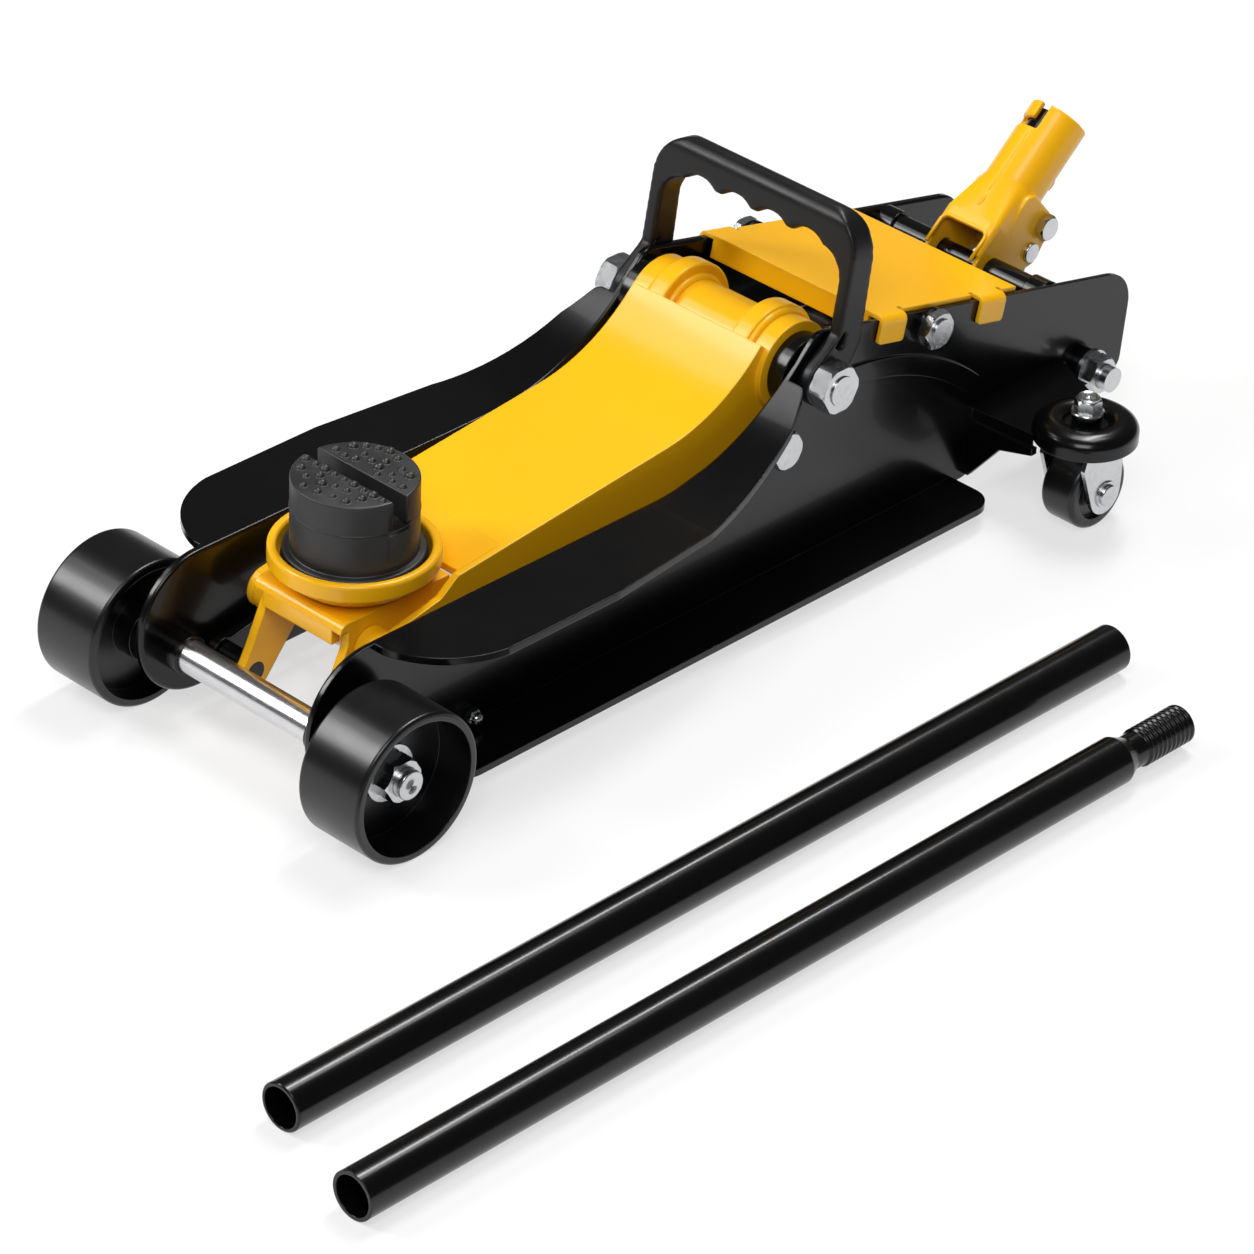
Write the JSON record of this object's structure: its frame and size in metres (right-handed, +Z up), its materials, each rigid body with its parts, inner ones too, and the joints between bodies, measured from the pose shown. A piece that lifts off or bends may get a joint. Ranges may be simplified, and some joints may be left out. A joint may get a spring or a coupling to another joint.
{
  "type": "hydraulic trolley jack",
  "caption": "Low-profile hydraulic trolley jack with black side plates, a yellow lift arm, a slotted rubber saddle pad, swivel rear casters and a two-piece tube handle laid beside it.",
  "frame": {"origin": "on the floor between the front wheels, 1.5 mm behind the middle of their axle", "axes": "+X along the jack towards the handle socket, +Y to the right as seen from the handle, +Z up"},
  "size_m": [0.8117, 0.4605, 0.2024],
  "materials": {
    "frame_black": "gloss",
    "lift_yellow": "gloss",
    "bright_zinc": "bright plated",
    "bright_steel": "ground",
    "pump_black": "satin",
    "pad_rubber": "matte",
    "grip_plastic": "satin",
    "caster_plastic": "gloss"
  },
  "bodies": {
    "frame": {"side_plate_left": "frame_black", "side_plate_right": "frame_black", "front_axle": "bright_steel", "axle_collars": "frame_black", "axle_fasteners": "bright_zinc", "main_shaft": "bright_zinc", "pivot_spacers": "frame_black", "pivot_nuts": "bright_zinc", "link_bolts": "bright_zinc", "tie_rods": "bright_zinc", "bolt_bushes": "frame_black", "tie_nuts": "bright_zinc", "rear_bolts": "bright_zinc", "rear_nuts": "bright_zinc", "block_spacers": "bright_steel", "pump_block": "pump_black", "ram_cylinder": "pump_black", "gland_nut": "bright_steel", "filler_plug": "pad_rubber", "cover_plate": "lift_yellow", "carry_handle": "grip_plastic", "socket_shaft": "frame_black", "socket_collars": "frame_black", "socket_sleeves": "frame_black", "caster_bracket_left": "frame_black", "caster_bracket_right": "frame_black", "caster_kingpins": "bright_zinc", "caster_nuts": "bright_zinc", "pump_spring": "bright_steel", "return_springs": "bright_steel"},
    "front_wheel_l": {"front_wheel_left": "frame_black"},
    "front_wheel_r": {"front_wheel_right": "frame_black"},
    "arm": {"lift_arm": "lift_yellow", "horn_pin": "bright_steel", "saddle_pin": "lift_yellow", "saddle_pin_sleeves": "lift_yellow"},
    "arm_roller": {"ram_roller": "bright_steel"},
    "saddle": {"saddle_yoke": "lift_yellow", "link_front_pin": "lift_yellow"},
    "cup": {"saddle_cup": "lift_yellow", "saddle_retainer": "bright_zinc"},
    "pad": {"rubber_pad": "pad_rubber"},
    "link_l": {"link_rod_left": "frame_black"},
    "link_r": {"link_rod_right": "frame_black"},
    "ram": {"ram_rod": "bright_steel"},
    "socket": {"handle_socket": "lift_yellow", "lock_bolt": "bright_zinc", "pump_roller_pin": "bright_zinc"},
    "socket_roller": {"pump_roller": "bright_steel"},
    "plunger": {"pump_plunger": "bright_steel"},
    "valve": {"release_valve": "bright_zinc"},
    "caster_l": {"caster_fork_left": "bright_zinc", "caster_axle_left": "bright_zinc"},
    "caster_r": {"caster_fork_right": "bright_zinc", "caster_axle_right": "bright_zinc"},
    "caster_wheel_l": {"caster_wheel_left": "caster_plastic"},
    "caster_wheel_r": {"caster_wheel_right": "caster_plastic"},
    "rod": {"handle_rod": "frame_black"},
    "rod_with_tip": {"tip_rod": "frame_black"}
  },
  "joints": [
    {"name": "arm_lift", "type": "hinge", "parent": "frame", "child": "arm", "pos_m": [0.326, 0, 0.118], "axis": [0, 1, 0], "range_deg": [0, 58], "deforming": ["return_springs"]},
    {"name": "saddle_level", "type": "hinge", "parent": "arm", "child": "saddle", "pos_m": [0.046, 0, 0.062], "axis": [0, 1, 0], "range_deg": [-58, 0]},
    {"name": "link_left_turn", "type": "hinge", "parent": "frame", "child": "link_l", "pos_m": [0.304, 0, 0.085], "axis": [0, 1, 0], "range_deg": [0, 58]},
    {"name": "link_right_turn", "type": "hinge", "parent": "frame", "child": "link_r", "pos_m": [0.304, 0, 0.085], "axis": [0, 1, 0], "range_deg": [0, 58]},
    {"name": "ram_stroke", "type": "slide", "parent": "frame", "child": "ram", "axis": [-1, 0, 0], "range_m": [0, 0.0437]},
    {"name": "arm_roller_turn", "type": "hinge", "parent": "arm", "child": "arm_roller", "pos_m": [0.34782, 0, 0.07864], "axis": [0, 1, 0], "continuous": true},
    {"name": "saddle_swivel", "type": "hinge", "parent": "saddle", "child": "cup", "pos_m": [0.065, 0, 0.09], "axis": [0, 0, 1], "continuous": true},
    {"name": "pad_lift_out", "type": "slide", "parent": "cup", "child": "pad", "axis": [0, 0, 1], "range_m": [0, 0.06]},
    {"name": "socket_pump", "type": "hinge", "parent": "frame", "child": "socket", "pos_m": [0.5135, 0, 0.0925], "axis": [0, 1, 0], "range_deg": [-25, 26]},
    {"name": "socket_roller_turn", "type": "hinge", "parent": "socket", "child": "socket_roller", "pos_m": [0.5455, 0, 0.0925], "axis": [0, 1, 0], "continuous": true},
    {"name": "pump_stroke", "type": "slide", "parent": "frame", "child": "plunger", "axis": [0, 0, -1], "range_m": [-0.0136, 0.0142], "deforming": ["pump_spring"]},
    {"name": "release_valve_turn", "type": "hinge", "parent": "frame", "child": "valve", "pos_m": [0.58, 0, 0.029], "axis": [1, 0, 0], "range_deg": [0, 180]},
    {"name": "front_wheel_left_spin", "type": "hinge", "parent": "frame", "child": "front_wheel_l", "pos_m": [-0.0015, -0.0945, 0.04], "axis": [0, 1, 0], "continuous": true},
    {"name": "front_wheel_right_spin", "type": "hinge", "parent": "frame", "child": "front_wheel_r", "pos_m": [-0.0015, 0.0945, 0.04], "axis": [0, 1, 0], "continuous": true},
    {"name": "caster_left_swivel", "type": "hinge", "parent": "frame", "child": "caster_l", "pos_m": [0.475, -0.122, 0.05], "axis": [0, 0, 1], "continuous": true},
    {"name": "caster_right_swivel", "type": "hinge", "parent": "frame", "child": "caster_r", "pos_m": [0.475, 0.122, 0.05], "axis": [0, 0, 1], "continuous": true},
    {"name": "caster_left_spin", "type": "hinge", "parent": "caster_l", "child": "caster_wheel_l", "pos_m": [0.4765, -0.122, 0.022], "axis": [0, 1, 0], "continuous": true},
    {"name": "caster_right_spin", "type": "hinge", "parent": "caster_r", "child": "caster_wheel_r", "pos_m": [0.4765, 0.122, 0.022], "axis": [0, 1, 0], "continuous": true},
    {"name": "rod_pick_up", "type": "slide", "parent": "frame", "child": "rod", "axis": [0, 0, 1], "range_m": [0, 0.3]},
    {"name": "tip_rod_pick_up", "type": "slide", "parent": "frame", "child": "rod_with_tip", "axis": [0, 0, 1], "range_m": [0, 0.3]}
  ],
  "couplings": [
    {"joint": "saddle_level", "follows": "arm_lift", "ratio": -1},
    {"joint": "link_left_turn", "follows": "arm_lift", "ratio": 1},
    {"joint": "link_right_turn", "follows": "arm_lift", "ratio": 1},
    {"joint": "ram_stroke", "follows": "arm_lift", "m_per_rad": 0.0431},
    {"joint": "pump_stroke", "follows": "socket_pump", "m_per_rad": 0.0309}
  ]
}
